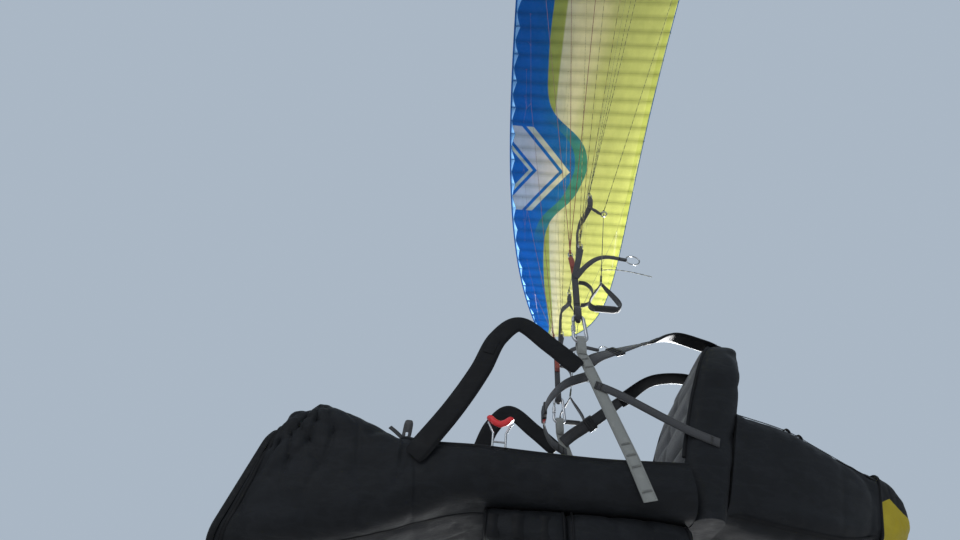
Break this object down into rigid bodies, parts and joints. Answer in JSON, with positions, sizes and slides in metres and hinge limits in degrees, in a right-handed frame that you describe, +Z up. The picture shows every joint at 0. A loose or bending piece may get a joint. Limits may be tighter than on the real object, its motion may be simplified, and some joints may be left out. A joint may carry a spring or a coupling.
{
  "type": "paraglider",
  "caption": "Solo paraglider in flight: arched ram-air canopy on fans of lines, webbing risers with brake handles, and a reclined pod harness.",
  "frame": {"origin": "on the canopy's chord plane at the root, 7.25 m straight above the middle between the two carabiners", "axes": "+X forward, +Y to the flyer's left, +Z up"},
  "size_m": [3.0159, 10.1206, 8.2589],
  "materials": {
    "sail_cloth": "satin",
    "red_cord": "matte",
    "olive_cord": "matte",
    "dark_cord": "matte",
    "black_webbing": "matte",
    "red_webbing": "matte",
    "grey_webbing": "matte",
    "pod_cloth": "matte",
    "pod_lining": "matte",
    "yellow_cloth": "matte",
    "bright_steel": "satin",
    "light_alloy": "satin",
    "dark_plastic": "matte",
    "red_plastic": "satin"
  },
  "bodies": {
    "wing": {"canopy_tip_right": "sail_cloth", "canopy_mid_right": "sail_cloth", "canopy_inner_right": "sail_cloth", "canopy_centre": "sail_cloth", "canopy_inner_left": "sail_cloth", "canopy_mid_left": "sail_cloth", "canopy_tip_left": "sail_cloth", "a_lines_left": "red_cord", "b_lines_left": "olive_cord", "c_lines_left": "dark_cord", "brake_fan_left": "dark_cord", "riser_body_left": "black_webbing", "a_riser_left": "red_webbing", "riser_tab_left": "black_webbing", "tab_ring_left": "bright_steel", "riser_loop_left": "black_webbing", "brake_ring_left": "bright_steel", "a_maillon_left": "bright_steel", "b_maillon_left": "bright_steel", "c_maillon_left": "bright_steel", "a_lines_right": "red_cord", "b_lines_right": "olive_cord", "c_lines_right": "dark_cord", "brake_fan_right": "dark_cord", "riser_body_right": "black_webbing", "a_riser_right": "red_webbing", "riser_tab_right": "black_webbing", "tab_ring_right": "bright_steel", "riser_loop_right": "black_webbing", "brake_ring_right": "bright_steel", "a_maillon_right": "bright_steel", "b_maillon_right": "bright_steel", "c_maillon_right": "bright_steel"},
    "harness": {"carabiner_left": "light_alloy", "main_strap_left": "grey_webbing", "back_strap_left": "black_webbing", "cockpit_strap_left": "black_webbing", "shoulder_strap_left": "black_webbing", "carabiner_right": "light_alloy", "main_strap_right": "grey_webbing", "back_strap_right": "black_webbing", "cockpit_strap_right": "black_webbing", "shoulder_strap_right": "black_webbing", "chest_strap": "black_webbing", "pod_shell": "pod_cloth", "foot_plate": "dark_plastic", "seat": "pod_lining", "seat_protector": "pod_cloth", "reserve_container": "pod_cloth", "back_shell": "pod_cloth", "tail": "pod_cloth", "tail_cap": "yellow_cloth", "rescue_handle": "red_plastic"},
    "brake_left": {"brake_handle_left": "black_webbing", "brake_line_left": "dark_cord", "brake_tail_left": "dark_cord"},
    "brake_right": {"brake_handle_right": "black_webbing", "brake_line_right": "dark_cord", "brake_tail_right": "dark_cord"}
  },
  "joints": [
    {"name": "harness_pitch", "type": "hinge", "parent": "wing", "child": "harness", "pos_m": [0, 0, -7.25], "axis": [0, 1, 0], "range_deg": [-15, 50]},
    {"name": "brake_pull_left", "type": "slide", "parent": "wing", "child": "brake_left", "axis": [0.1451, 0.0502, -0.9881], "range_m": [0, 0.55], "stiffness_N_per_m": 60, "springref_m": -0.1},
    {"name": "brake_pull_right", "type": "slide", "parent": "wing", "child": "brake_right", "axis": [0.1451, -0.0502, -0.9881], "range_m": [0, 0.55], "stiffness_N_per_m": 60, "springref_m": -0.1}
  ]
}
